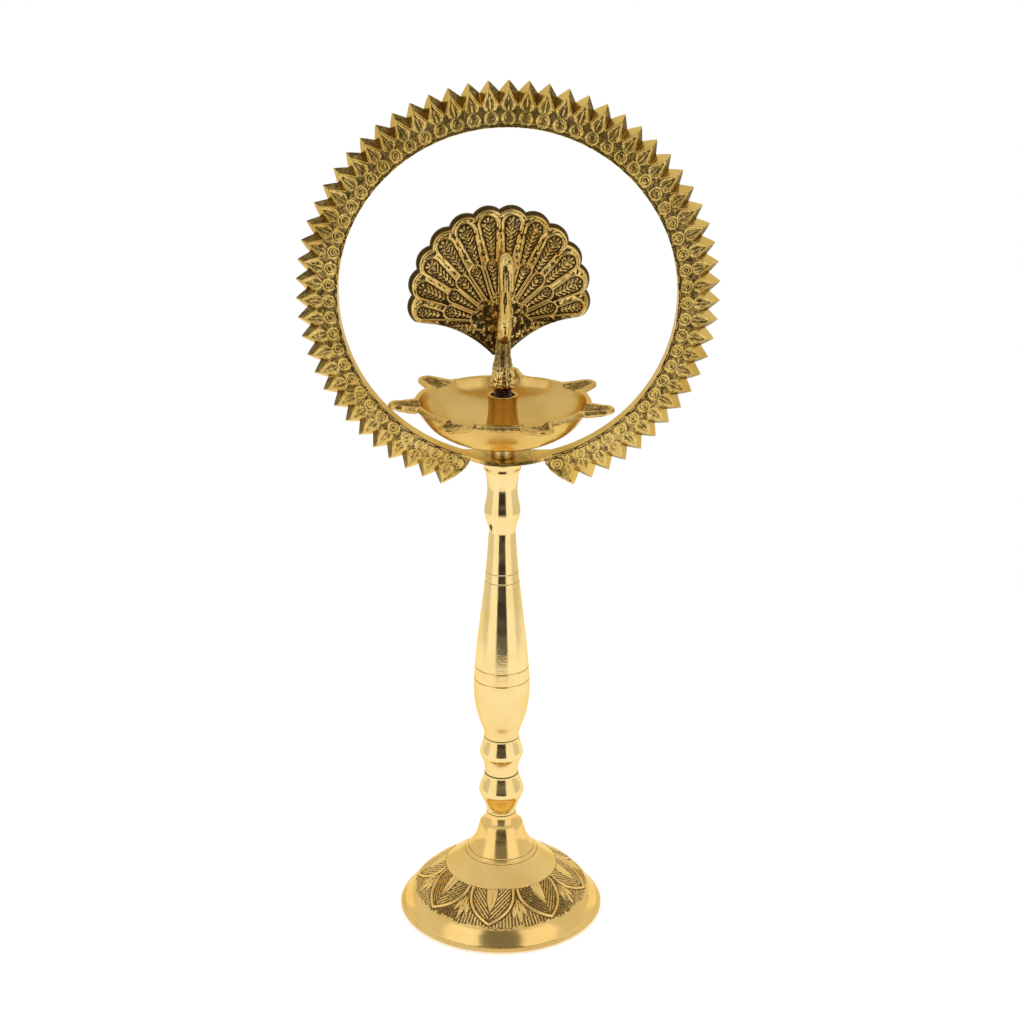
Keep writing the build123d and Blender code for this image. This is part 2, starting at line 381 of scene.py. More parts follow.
def brass(name, tones, gloss, pits, lathe=0.0, tarnish=0.0, grit=0.0):
    """Brass with slow colour drift, fine pits or lathe lines, and patina where the grime attribute is.

    gloss is the roughness of the clean metal, pits the depth of the casting's grain, lathe the
    depth of the turning marks, tarnish the share of patina on open faces, and grit the extra grain
    of a rough cast face, which follows the grime.
    """
    material, graph, place_on = new_material(name)
    drift = graph.noise(place_on, 55.0)
    grain = graph.noise(place_on, 900.0, 4.0)
    speckle = graph.noise(place_on, 260.0, 2.0)
    dirt = graph.add("Attribute", output=2, options={"attribute_name": "grime"})
    rough_dirt = graph.math("ADD", dirt, graph.span(grain, 0.3, 0.75, -0.13, 0.13))
    open_dirt = graph.math("ADD", rough_dirt, graph.span(speckle, 0.35, 0.75, 0.0, tarnish))
    mask = graph.span(open_dirt, 0.12, 0.95, 0.0, 1.0)
    metal = graph.mix(graph.span(drift, 0.35, 0.7, 0.0, 1.0), *tones)
    base = graph.mix(mask, metal, PATINA)
    wear = graph.span(graph.noise(place_on, 140.0), 0.3, 0.75, gloss * 0.75, gloss * 1.35)
    rough = graph.math("ADD", wear, graph.math("MULTIPLY", mask, 0.14))
    metallic = graph.span(mask, 0.0, 1.0, 1.0, 0.75)
    stretch = graph.add("Mapping", Vector=place_on, Scale=(40.0, 40.0, 3200.0))
    rings = graph.noise(stretch, 1.0, 2.0)
    grain_depth = graph.math("MULTIPLY_ADD", dirt, grit, pits)
    height = graph.math("MULTIPLY_ADD", grain, grain_depth, graph.math("MULTIPLY", rings, lathe))
    normal = graph.add("Bump", Strength=1.0, Distance=0.001, Height=height)
    shader = graph.add(
        "BsdfPrincipled", Base_Color=base, Metallic=metallic, Roughness=rough, Normal=normal,
        Specular_Tint=EDGE_TINT,
    )
    graph.add("OutputMaterial", Surface=shader)
    return material


def steel(name, light, dark, gloss):
    """Plated or oxidised steel: cloudy grey with fine scratches."""
    material, graph, place_on = new_material(name)
    cloud = graph.noise(place_on, 320.0)
    stretch = graph.add("Mapping", Vector=place_on, Scale=(200.0, 200.0, 2600.0))
    scratch = graph.noise(stretch, 1.0, 2.0)
    base = graph.mix(graph.span(cloud, 0.3, 0.7, 0.0, 1.0), light, dark)
    rough = graph.span(scratch, 0.3, 0.75, gloss * 0.8, gloss * 1.3)
    normal = graph.add("Bump", Strength=0.4, Distance=0.0002, Height=scratch)
    shader = graph.add("BsdfPrincipled", Base_Color=base, Metallic=1.0, Roughness=rough, Normal=normal)
    graph.add("OutputMaterial", Surface=shader)
    return material


turned_brass = brass("turned_brass", TURNED, 0.13, 0.02, lathe=0.012)
foot_brass = brass("foot_brass", POLISHED, 0.15, 0.012, lathe=0.006)
bowl_brass = brass("bowl_brass", SATIN, 0.21, 0.02, lathe=0.015, grit=0.45)
collar_brass = brass("collar_brass", LACQUER, 0.25, 0.01, lathe=0.012)
spacer_brass = brass("spacer_brass", TURNED, 0.42, 0.05)
ring_brass = brass("ring_brass", CAST, 0.18, 0.08, tarnish=0.16)
bird_brass = brass("bird_brass", FEATHER, 0.15, 0.06, tarnish=0.12)
zinc = steel("zinc_steel", colour(0.62, 0.62, 0.62), colour(0.46, 0.46, 0.45), 0.34)
oxide = steel("oxide_steel", colour(0.12, 0.06, 0.03), colour(0.05, 0.03, 0.018), 0.5)


# ---------------------------------------------------------------- foot

NECK_TOP = top("base")
FOOT_R = reach("base")
FOOT_REST_R = 44.7
FOOT_REST_INNER_R = 43.1
FOOT_ROOF = low("base_nut") + (top("base_washer") - low("base_nut"))
BORE_R = 3.06
BAND_INNER_R = 25.4
BAND_OUTER_R = 40.6
BAND_ROWS = 86
BAND_COLUMNS = 960
BAND_PAST = 1.04
FOOT_COLUMNS = 240
PETALS = 8
PETAL_TURN = math.radians(-98)
PETAL_HALF = math.radians(21.8)
PETAL_TIP = 0.93
HATCH_LINES = 160


def petal_depth(angle, share, radius, slant):
    """Distance inside the nearest petal's outline, negative outside it."""
    t = share / PETAL_TIP
    half = PETAL_HALF * (1 - np.clip(t, 0, 1) ** 2.2)
    slope = PETAL_HALF * radius * 2.2 * np.clip(t, 0, 1) ** 1.2 / (PETAL_TIP * slant)
    inside = (half - np.abs(angle)) * radius / np.sqrt(1 + slope**2)
    past = -np.hypot(angle * radius, (share - PETAL_TIP) * slant)
    return np.where(t < 1, inside, past)


def tulip_height(across, share):
    """Three raised blades that fan out from one point between two petals."""
    height = np.full_like(share, -1.0)
    blades = ((0.0, 0.90, 1.2), (3.2, 0.76, 1.15), (-3.2, 0.76, 1.15))
    for lean, tip, half in blades:
        t = np.clip((share - 0.10) / (tip - 0.10), 0, 1)
        width = half * np.sin(math.pi * t**1.7) + 0.02
        middle = lean * t**1.25
        blade = 0.42 * rise(width - np.abs(across - middle), -0.1, 0.4)
        blade -= 0.4 * ridge(across - middle, 0.32) * (t < 0.6) * (t > 0.15)
        inside = (np.abs(across - middle) < width + 0.35) & (t > 0) & (t < 1)
        height = np.where(inside, np.maximum(height, blade - 0.2), height)
    return height


def foot_relief(phi, share, radius, slant, points):
    """Height of the embossed band: petals with veins, tulips between them, hatching behind."""
    pitch = FULL_TURN / PETALS
    petal = centred(phi - PETAL_TURN, pitch)
    gap = (phi - PETAL_TURN) % pitch - pitch / 2
    down = share * slant
    across = petal * radius
    inside = petal_depth(petal, share, radius, slant)

    ragged = 0.955 + 0.05 * lumps(np.column_stack([phi * 38, phi * 0, phi * 0]), 1.0, 5)
    lines = np.cos(HATCH_LINES * phi) * 0.5 + 0.5
    hatch = -0.36 + 0.42 * lines**1.4
    hatch = np.where(share > ragged, 0.0, hatch)
    height = hatch

    tulip = tulip_height(gap * radius, share)
    height = np.where((tulip > -0.9) & (inside < -0.25), np.maximum(tulip, -0.28), height)

    veins = np.cos(FULL_TURN * (down + 1.25 * np.abs(across)) / 2.1) * 0.5 + 0.5
    leaf_half = math.radians(5.4) * np.clip(1 - (share / 0.6) ** 1.7, 0, 1)
    leaf = (leaf_half - np.abs(petal)) * radius
    flesh = -0.36 + 0.48 * veins**1.3
    flesh = np.where(leaf > -0.45, -0.26, flesh)
    flesh = np.where(leaf > 0, 0.26 * rise(leaf, 0, 0.5) - 0.26 * ridge(across - 0.35, 0.28), flesh)
    height = np.where(inside > 1.85, flesh, height)

    rim = 0.42 * ridge(inside - 0.72, 0.72) - 0.40 * ridge(inside + 0.2, 0.38)
    rim -= 0.38 * ridge(inside - 1.65, 0.4)
    height = np.where((inside > -0.5) & (inside <= 1.85), rim, height)

    worn = 0.05 * lumps(points, 1.1, 3) + 0.04 * lumps(points, 0.5, 4)
    edge = rise(down, 0.0, 0.5) * (1 - rise(share, 1.0, 1.02))
    dirt = dirt_of(height + worn, 0.10, -0.20) * edge
    line = ridge(down - 0.25, 0.3)
    return (height + worn) * edge - 0.12 * line, np.maximum(0.74 * dirt, 0.6 * line)


def foot_mesh():
    """Bell foot: polished cone with grooves, embossed band, polished rim, and the hollow under it."""
    neck = [(6.8, NECK_TOP - 0.2), (7.05, 45.6), (7.7, 44.2), (8.7, 43.05), (9.55, 42.2), (9.95, 41.2)]
    neck += [(10.3, 40.0), (11.1, 36.9)]
    flare = [(11.1, 36.9), (11.8, 35.0), (12.9, 33.0), (14.2, 31.0), (15.9, 29.0), (18.0, 27.0), (20.3, 25.0)]
    flare += [(22.8, 23.0), (BAND_INNER_R, 21.0)]
    trumpet = engrave(curve(flare, 0.7), (29.9, 28.3), 0.24, 0.32, side=-1)
    trumpet[:, 2] *= 0.75
    skirt = [(BAND_INNER_R, 21.0), (28.0, 19.0), (30.6, 17.0), (33.2, 15.0), (35.8, 13.0), (38.1, 11.0)]
    skirt += [(BAND_OUTER_R, 8.55)]
    roll = [(BAND_OUTER_R, 8.55), (41.8, 7.0), (43.0, 5.0), (44.3, 3.1), (45.6, 1.75), (FOOT_R, 1.3)]
    rim = engrave(curve(roll, 0.6), (2.5,), 0.22, 0.5, side=-1)
    rim[:, 2] *= 0.5
    under_edge = [(FOOT_R, 1.0), (FOOT_REST_R + 0.2, 0.1), (FOOT_REST_R, 0.0), (FOOT_REST_INNER_R, 0.0)]
    cavity = [(FOOT_REST_INNER_R, 0.1), (35.4, 8.6), (23.5, 18.2), (15.4, 24.8), (11.2, 29.5)]
    cavity += [(8.0, FOOT_ROOF)]
    bore = [(3.3, FOOT_ROOF), (3.3, NECK_TOP), (6.6, NECK_TOP)]
    rings = rings_of(rows_of(curve(neck, 0.4)[:-1], trumpet[:-1]), FOOT_COLUMNS)
    rings += band_rings(curve(skirt, 0.05))
    outline = rows_of(rim[1:], under_edge, curve(cavity, 1.5))
    outline[len(rim) - 1:, 2] = 0.25
    rings += rings_of(rows_of(outline, bore), FOOT_COLUMNS)
    return make_piece("foot_shell", *join_rings(rings, closed=True))


def band_rings(line):
    """Rings of the embossed band, pushed out along the surface by the relief."""
    length = length_along(line)
    slant = length[-1]
    angle = round_turn(BAND_COLUMNS)
    normal = -normals_of(line)
    rings = []
    for share in np.linspace(0, 1, BAND_ROWS):
        row = np.array([np.interp(share * slant, length, line[:, k]) for k in (0, 1)])
        out = np.array([np.interp(share * slant, length, normal[:, k]) for k in (0, 1)])
        points = ring_of(row[0], angle, row[1], 0)[:, :3]
        radius = np.full(BAND_COLUMNS, row[0])
        down = np.full(BAND_COLUMNS, share * BAND_PAST)
        height, dirt = foot_relief(angle, down, radius, slant / BAND_PAST, points)
        rings.append(ring_of(row[0] + out[0] * height, angle, row[1] + out[1] * height, dirt))
    return rings


# ---------------------------------------------------------------- column

JOINT_DIRT = 0.9
FINIAL_BORE_R = 3.96


def bead_mesh(name, points, low_z, high_z):
    """Turned bead with its joint faces relieved by a hair, so that a fine dark line shows."""
    side = curve(points, 0.45)
    (low_r, _), (high_r, _) = points[0], points[-1]
    outline = rows_of(
        [(BORE_R, low_z), (low_r - 0.35, low_z), (low_r, low_z + 0.3)],
        side,
        [(high_r, high_z - 0.3), (high_r - 0.35, high_z), (BORE_R, high_z)],
    )
    outline[:2, 2] = JOINT_DIRT
    outline[-2:, 2] = JOINT_DIRT
    return turned(name, outline, 160, closed=True)


def stem_mesh():
    """Baluster with a pear-shaped belly, two pairs of grooves, a ring bulge and a flared lip."""
    foot_z, lip_z = low("stem"), top("stem")
    belly = [(7.9, 87.6), (8.7, 90.2), (9.9, 93.4), (11.5, 99.4), (12.5, 107.0), (12.55, 113.0)]
    taper = [(11.95, 122.0), (11.4, 128.4), (9.6, 144.7), (8.1, 157.6), (6.75, 171.7), (5.85, 184.5)]
    bulge = [(5.85, 184.6), (6.7, 188.5), (7.75, 192.4), (7.75, 194.6), (6.9, 199.2), (6.5, 204.0)]
    flare = [(6.6, 206.0), (6.95, 209.4), (7.55, 212.3)]
    body = engrave(curve(belly + taper, 0.8), (165.6, 161.4, 120.5, 114.7), 0.22, 0.34)
    body[:, 2] *= 0.6
    upper = rows_of(curve(bulge + flare, 0.5))
    lip = [(7.7, 212.55), (8.0, 212.75), (8.0, 213.6), (7.88, 213.8), (8.0, 214.0), (8.0, lip_z - 0.25)]
    socket_z = low("upper_stud") - 2.0
    rod_z = top("tie_rod") + 4.0
    outline = rows_of(
        [(0, rod_z), (BORE_R, rod_z), (BORE_R, foot_z), (7.55, foot_z), (7.9, foot_z + 0.3)],
        body, upper[1:], lip,
        [(7.75, lip_z), (BORE_R, lip_z), (BORE_R, socket_z), (0, socket_z)],
    )
    outline[:4, 2] = JOINT_DIRT
    shell = turned("column_shell", outline, 240, closed=False)
    return casting_flaw(shell, (-5.1, -3.9, 187.0), (1.5, 1.5, 2.6))


def casting_flaw(piece, centre, size):
    """A small dark pit that the casting left on a turned face."""
    mesh = piece.data
    points = points_of(mesh)
    grime = np.zeros(len(points), np.float32)
    mesh.attributes["grime"].data.foreach_get("value", grime)
    away = np.linalg.norm((points - centre) / size, axis=1) + 0.35 * lumps(points, 0.9, 51)
    pit = 1 - rise(away, 0.45, 1.0)
    set_points(mesh, points * (1 - 0.04 * pit[:, None] * (1, 1, 0)), np.maximum(grime, pit))
    return piece


def spacer_mesh():
    r, low_z, high_z = reach("spacer"), low("spacer"), top("spacer")
    lower_end = [(BORE_R, low_z), (r - 0.2, low_z), (r, low_z + 0.2)]
    upper_end = [(r, high_z - 0.3), (r - 0.3, high_z), (BORE_R, high_z)]
    return turned("spacer_tube", rows_of(lower_end, upper_end), 96, closed=True)


def collar_mesh():
    """Waisted nut with a fine lip round the bore that takes the finial."""
    low_z, high_z, floor_z = low("collar"), top("collar"), low("finial_stud") - 0.2
    waist = [(8.4, 228.6), (7.45, 231.0), (6.7, 234.4), (6.25, 238.4), (6.1, 241.6), (6.3, 244.4)]
    side = curve([(9.2, low_z + 1.0)] + waist, 0.5)
    lip = [(6.5, high_z - 0.7), (6.5, high_z - 0.25), (6.3, high_z), (5.5, high_z), (5.2, high_z - 0.3)]
    bore = [(5.2, 244.8), (FINIAL_BORE_R, 244.8), (FINIAL_BORE_R, floor_z), (0, floor_z)]
    seat = [(0, 236.0), (BORE_R, 236.0), (BORE_R, low_z), (8.9, low_z), (9.2, low_z + 0.3)]
    outline = rows_of(seat, side, lip, bore)
    # Painted shade: the walls and floor of the bore that takes the finial are made dark, where shade falls
    # inside the hole.
    outline[-4:, 2] = 0.85
    return turned("collar_nut", outline, 144, closed=False)


def threaded_rod(name, radius, low_z, high_z, pitch):
    """Rod with a helical thread that runs out into a chamfer at each end."""
    angle = round_turn(48)
    per_turn = 10
    heights = np.linspace(low_z, high_z, int((high_z - low_z) / pitch * per_turn) + 1)
    depth = 0.5 * pitch
    pole = np.zeros(1)
    rings = [ring_of(0, pole, low_z, 0.4)]
    for z in heights:
        wave = np.abs((((z - low_z) / pitch - angle / FULL_TURN) % 1.0) * 2 - 1)
        r = radius - depth * (1 - wave)
        r = np.minimum(r, radius - depth + np.minimum(z - low_z, high_z - z))
        rings.append(ring_of(r, angle, z, 0.6 * (1 - wave)))
    rings.append(ring_of(0, pole, high_z, 0.4))
    return make_piece(name, *join_rings(rings, closed=False), sharp=50.0)


# ---------------------------------------------------------------- aura ring

SHELF_TOP = top("stem") + 1.7
RING_TIP_R = 88.7
RING_CENTRE = 288.8
RING_SHIFT = 2.0
RING_INNER_R = RING_CENTRE - SHELF_TOP
RING_BACK = 1.8
RING_INNER_FRONT = -5.5
RING_SLOPE = 0.242
RING_TEETH = 61
RING_PITCH = math.radians(5.37)
RING_FIRST = math.pi / 2 - RING_PITCH * (RING_TEETH - 1) / 2
RING_LAST = math.pi - RING_FIRST
TEETH_SPAN = RING_LAST - RING_FIRST
TOOTH_STEPS = 24
LEAF_SPAN = math.radians(6.2)
SHELF_R = RING_INNER_R + 1.65
SHELF_HALF_LENGTH = 19.0
SHELF_HALF_DEPTH = 9.2
BACK_ROOT_R = 84.1
FRONT_TIP_R = 86.3
FRONT_ROOT_R = 79.6
BOSS_R = 74.15
LEAF_WIDEST_R = 79.8
LEAF_HALF = 2.75


def upright(radius, angle):
    """Points in the XZ plane at a radius and an angle."""
    return np.column_stack([radius * np.cos(angle), 0 * angle, radius * np.sin(angle)])


def standing_ring(angle, radius, y, dirt, centre_z):
    """Points of one ring about Y, as rows x, y, z, grime."""
    x, _, z = upright(radius, angle).T
    return np.column_stack(np.broadcast_arrays(x, y, centre_z + z, dirt))


def teeth_turn(angle):
    """Turn from the first tooth, and whether the teeth reach that far."""
    turn = (angle - RING_FIRST) % FULL_TURN
    return turn, turn <= TEETH_SPAN + RING_PITCH * 0.5


def ring_outline():
    """Angles round the ring with the outer radius of its back and of its front face at each."""
    tooth = np.arange((RING_TEETH - 1) * TOOTH_STEPS + 1) / TOOTH_STEPS
    teeth = RING_FIRST + tooth * RING_PITCH
    off_tip = np.abs((tooth + 0.5) % 1.0 - 0.5) * 2
    back = RING_TIP_R - (RING_TIP_R - BACK_ROOT_R) * off_tip
    front = FRONT_TIP_R - (FRONT_TIP_R - FRONT_ROOT_R) * off_tip**0.93
    span = np.linspace(0, LEAF_SPAN, 31)[1:]
    leaf_angles = np.radians([0, 0.35, 1.2, 3.4, 5.2, 6.0, 6.2])
    leaf_back = np.interp(span, leaf_angles, [RING_TIP_R, 88.4, 87.2, 83.6, 79.4, 76.0, SHELF_R])
    leaf_front = np.interp(span, leaf_angles, [FRONT_TIP_R, 86.1, 85.0, 81.6, 77.8, 75.0, SHELF_R])
    shelf_end = FULL_TURN + RING_FIRST - LEAF_SPAN
    shelf = np.linspace(RING_LAST + LEAF_SPAN, shelf_end, 71)[1:-1]
    angles = np.concatenate([teeth, RING_LAST + span, shelf, (FULL_TURN + RING_FIRST - span)[::-1]])
    flat = np.full(len(shelf), SHELF_R)
    backs = np.concatenate([back, leaf_back, flat, leaf_back[::-1]])
    fronts = np.concatenate([front, leaf_front, flat, leaf_front[::-1]])
    return angles, backs, fronts


def ring_relief(angle, radius, edge_gap, points):
    """Height of the cast front: an engraved leaf in each tooth, a curled boss below it, a fine border."""
    turn, on_teeth = teeth_turn(angle)
    off = turn - np.round(turn / RING_PITCH) * RING_PITCH
    end = np.minimum(np.abs(turn - TEETH_SPAN), np.abs(FULL_TURN - turn))
    t = radius * np.sin(off)
    q = radius * np.cos(off)

    above = q - LEAF_WIDEST_R
    upper = np.clip(1 - above / 5.4, 0, 1) ** 0.85
    lower = np.sqrt(np.clip(1 - (above / 3.0) ** 2, 0, 1))
    leaf = LEAF_HALF * np.where(above > 0, upper, lower) - np.abs(t)
    relief = 0.38 * ridge(leaf - 0.25, 0.45) * (q > 77.0)
    vein = np.abs(np.abs(t) - np.clip(0.30 * (85.0 - q), 0, 1.5))
    inner = (leaf > 0.7) & (q > 77.2)
    relief = np.where(inner, 0.30 * ridge(t, 0.4) + 0.28 * ridge(vein, 0.35) - 0.14, relief)

    from_boss = np.hypot(t, q - BOSS_R)
    curl = np.arctan2(q - BOSS_R, t) / FULL_TURN
    boss = 0.42 * ridge(from_boss - 2.35, 0.5) - 0.20 * ridge(from_boss - 3.0, 0.3) - 0.10
    boss += 0.30 * ridge(from_boss - 1.2 - 0.35 * curl, 0.4) + 0.22 * ridge(from_boss, 0.5)
    relief = np.where((from_boss < 3.2) & (leaf < 0.3), boss, relief)
    relief = np.maximum(relief, 0.32 * ridge(edge_gap - 0.4, 0.4))
    relief = np.where(on_teeth, relief, 0.0)

    leaf_boss = np.hypot(radius * (end - math.radians(2.6)), radius - 75.6)
    curl_end = 0.34 * ridge(leaf_boss - 2.3, 0.5) - 0.14 * ridge(leaf_boss - 3.0, 0.32)
    curl_end += 0.22 * ridge(leaf_boss - 1.0, 0.4)
    relief = np.where(~on_teeth & (end < LEAF_SPAN), curl_end, relief)

    relief += 0.16 * ridge(radius - RING_INNER_R - 0.45, 0.4)
    relief -= 0.03 * ridge(radius - RING_INNER_R - 1.0, 0.28)
    wear = 0.86 + 0.14 * lumps(points, 6.0, 13)
    cast = 0.05 * lumps(points, 1.3, 11) + 0.05 * lumps(points, 0.6, 12)
    return relief * wear + cast


def flank_painted_shade(angle):
    """Painted shade on the teeth: the flank that looks clockwise is darkened as if light came from the left,
    and the flank that looks anticlockwise stays clean.
    """
    turn, on_teeth = teeth_turn(angle)
    share = (turn / RING_PITCH + 0.5) % 1.0
    return np.where(on_teeth & (share < 0.48), 0.7, 0.0)


def ring_mesh():
    """One casting: flanks, sloping front with its relief, smooth opening, flat back, and the shelf."""
    angles, backs, fronts = ring_outline()
    x = RING_INNER_R * np.cos(angles)
    below = np.sin(angles) < 0
    near = np.where(below, np.clip(1 - (x / SHELF_HALF_LENGTH) ** 2, 0, 1), 0)
    near = np.where(np.abs(x) < SHELF_HALF_LENGTH, near, 0)
    lip_front = RING_INNER_FRONT - near * (SHELF_HALF_DEPTH + RING_INNER_FRONT)
    lip_back = RING_BACK + near * (SHELF_HALF_DEPTH - RING_BACK)
    on_shelf = fronts <= SHELF_R + 1e-6
    rows = []

    def cone(radius):
        return RING_INNER_FRONT + (radius - RING_INNER_R) * RING_SLOPE

    def lipped(radius, plate, lip):
        blend = rise(radius, SHELF_R + 0.5, SHELF_R - 0.1)
        return np.where(on_shelf, lip, plate + (lip - plate) * blend)

    front_edge = lipped(fronts, cone(fronts), lip_front)
    back_edge = lipped(backs, RING_BACK + 0 * backs, lip_back)
    # Painted shade: the clockwise-facing flank of each tooth is darkened as if lit from the left.
    shade = flank_painted_shade(angles)
    for share in (0.0, 0.06, 0.5, 0.94):
        y = back_edge + (front_edge - back_edge) * share
        rows.append((backs + (fronts - backs) * share, y, shade))
    for share in np.linspace(0, 1, 41)[:-1]:
        radius = fronts + (RING_INNER_R - fronts) * share
        y = lipped(radius, cone(radius), lip_front)
        relief = ring_relief(angles, radius, fronts - radius, upright(radius, angles))
        inset = rise(fronts - radius, 0.0, 0.35)
        relief = np.where(on_shelf, 0.0, relief * inset)
        patina = 0.02 + 0.14 * np.cos(angles) ** 2 + 0.72 * dirt_of(relief, 0.20, -0.12)
        dirt = np.where(on_shelf, 0.15, patina)
        rows.append((radius, y - relief, dirt * rise(fronts - radius, 0.05, 0.35)))
    for share in (0.0, 0.04, 0.5, 0.96):
        # Painted shade: the middle of the shelf, between the dish and the column, is darkened where shade
        # falls, on top of an even light patina of 0.10.
        shelf_dirt_and_shade = 0.10 + 0.34 * (1 - rise(np.abs(x), 7.0, 16.0)) * below
        rows.append((RING_INNER_R, lip_front + (lip_back - lip_front) * share, shelf_dirt_and_shade * (share > 0)))
    for share in np.linspace(0, 1, 9)[:-1]:
        radius = RING_INNER_R + (backs - RING_INNER_R) * share
        rows.append((radius, lipped(radius, RING_BACK + 0 * radius, lip_back), 0.35))
    aside = RING_SHIFT * np.where(on_shelf, rise(np.abs(x), 3.0, 15.5), 1.0)
    rings = [standing_ring(angles, *row, RING_CENTRE) for row in rows]
    for ring in rings:
        ring[:, 0] += aside
    return make_piece("aura_ring", *join_rings(rings, closed=True), sharp=42.0)


# ---------------------------------------------------------------- dish

DISH_RIM = top("oil_dish")
DISH_R = 37.8
SPOUTS = 7
FIRST_SPOUT = math.radians(35.0)
SPOUT_TIP_R = 48.8
SPOUT_HALF = 6.0
SPOUT_TIP_HALF = 4.3
SECTOR = FULL_TURN / SPOUTS
BOWL_FLOOR = 226.0
BOWL_UNDERSIDE = 223.6
BOWL_INSIDE = [(9.0, BOWL_FLOOR), (14.6, 227.1), (22.8, 230.0), (29.4, 234.2), (33.6, 239.0), (35.6, 243.5)]
BOWL_OUTSIDE = [(7.0, BOWL_UNDERSIDE), (15.0, 225.3), (24.0, 228.4), (31.0, 233.0), (35.4, 238.6)]
BOWL_OUTSIDE += [(37.4, 241.6)]


def spout_reach(off):
    """Outer radius of the dish at an angle from the nearest spout's middle."""
    off = np.abs(off)
    turn = SPOUT_TIP_R - SPOUT_TIP_HALF
    nose = turn * np.cos(off) + np.sqrt(np.clip(SPOUT_TIP_HALF**2 - (turn * np.sin(off)) ** 2, 0, None))
    shoulder = math.asin(SPOUT_TIP_HALF / turn)
    root = math.asin((SPOUT_HALF + 1.2) / DISH_R)
    stations = [shoulder, root * 0.93, root, root * 1.18]
    side = np.interp(off, stations, [turn, DISH_R + 1.0, DISH_R + 0.35, DISH_R])
    return np.where(off < shoulder * 0.985, nose, side)


def spout_crest(radius):
    """Height of the rim's crest, which rises a little towards each spout's tip."""
    return DISH_RIM - 0.3 + 0.7 * rise(radius, 38.5, SPOUT_TIP_R)


def dish_angles():
    """Columns round the dish, closer together over each spout."""
    dense = math.radians(13.0)
    over = np.linspace(-dense, dense, 72, endpoint=False)
    between = np.linspace(dense, SECTOR - dense, 26, endpoint=False)
    one = np.concatenate([over, between])
    return np.concatenate([FIRST_SPOUT + SECTOR * k + one for k in range(SPOUTS)]), np.tile(one, SPOUTS)


def dish_top(radius, off, inside, points):
    """Height of the dish's upper side, and how dirty it is: bowl, rough rim, and ribbed troughs."""
    away = centred(off, SECTOR)
    across = radius * np.sin(away)
    along = radius * np.cos(away)
    bowl = height_on(inside, radius)
    half = np.interp(along, [30.0, 38.0, 44.0], [5.8, 5.4, 3.1])
    nose = np.hypot(across, np.clip(along - 44.0, 0, None))
    in_spout = np.abs(away) < math.radians(11.5)
    open_way = (1 - rise(nose / half, 0.60, 1.0)) * in_spout
    ribs = 0.13 * np.cos(across / 0.95 * math.pi) * open_way * rise(along, 34.0, 37.0)
    rim_rough = 0.09 * lumps(points, 1.6, 21) + 0.08 * lumps(points, 0.7, 22)
    crown = spout_crest(radius) + rim_rough
    upper = crown - 1.6 * open_way + ribs
    z = np.where(radius > 35.55, upper, np.minimum(bowl, upper))
    cast = rise(radius, 34.6, 35.8)
    shade = 0.14 + 0.10 * lumps(points, 0.9, 24) + rise(open_way, 0.02, 0.3) * (0.46 - 1.6 * ribs)
    dirt = cast * shade
    return z, dirt


def dish_mesh():
    """Bowl with seven spouts in one casting. Rows run from the bore over the top and back below."""
    angles, offs = dish_angles()
    outer = spout_reach(centred(offs, SECTOR))
    inside = curve(BOWL_INSIDE, 0.4)
    outside = curve(BOWL_OUTSIDE, 0.4)
    rows = []

    def add(radius, z, dirt):
        rows.append(ring_of(radius, angles, z, dirt))

    add(BORE_R, BOWL_FLOOR, 0)
    for radius in np.linspace(9.0, 34.0, 26):
        add(radius, height_on(inside, radius), 0)
    for share in np.linspace(0, 1, 30)[1:]:
        radius = 34.0 + (outer - 0.35 - 34.0) * share**1.1
        z, dirt = dish_top(radius, offs, inside, ring_of(radius, angles, 0, 0)[:, :3])
        add(radius, z - 0.35 * (share == 1), dirt)
    skin = ring_of(outer, angles, 0, 0)[:, :3]
    between = 1 - rise(outer, 38.0, 40.0)
    brim = spout_crest(outer) - 0.4
    floor_edge = np.interp(outer, [37.8, 40.0, SPOUT_TIP_R], [241.3, 241.3, 242.2])
    for share in (0.22, 0.5, 0.78):
        grain = lumps(skin + (0, 0, 6 * share), 1.1, 23)
        z = brim + (floor_edge - brim) * share
        add(outer + (0.02 + 0.08 * between) * grain, z, 0.30 + 0.16 * between + 0.2 * grain)
    for share in np.linspace(0, 1, 12):
        radius = outer - 0.4 + (36.4 - outer + 0.4) * share
        under = np.interp(radius, [36.4, 38.5, SPOUT_TIP_R], [240.4, 241.0, 242.2])
        under -= 0.8 * rise(share, 0.0, 0.25)
        bowl = height_on(outside, radius)
        blend = rise(outer, DISH_R + 0.2, DISH_R + 2.5)
        add(radius, bowl + (under - bowl) * blend * (1 - share), 0.3 * (1 - share))
    for radius in np.linspace(36.0, 7.0, 26):
        add(radius, height_on(outside, radius), 0.02)
    add(BORE_R, BOWL_UNDERSIDE, 0)
    return make_piece("oil_bowl", *join_rings(rows, closed=True), sharp=50.0)


# ---------------------------------------------------------------- peacock

TAIL_HUB = 275.0
TAIL_CENTRE = 286.0
TAIL_TIP_R = 39.2
TAIL_NOTCH_R = 37.2
TAIL_LOBES = 12
TAIL_LOBE_PITCH = math.radians(17.4)
TAIL_LOW_POINT = 261.0
TAIL_FRONT = 6.5
TAIL_THICK = 3.6
TAIL_BEVEL = 1.5
PEACOCK_YAW = math.radians(10.0)
OUTER_FEATHERS = [math.radians(a) for a in (6.8, 20.4, 34.4, 48.7, 63.8, 79.7, 92.5)]
INNER_FEATHERS = [math.radians(a) for a in (8.2, 24.4, 40.8, 57.2, 74.5, 91.0)]
OUTER_HALF = 4.45
INNER_HALF = 3.45
NO_FEATHER = -9.0


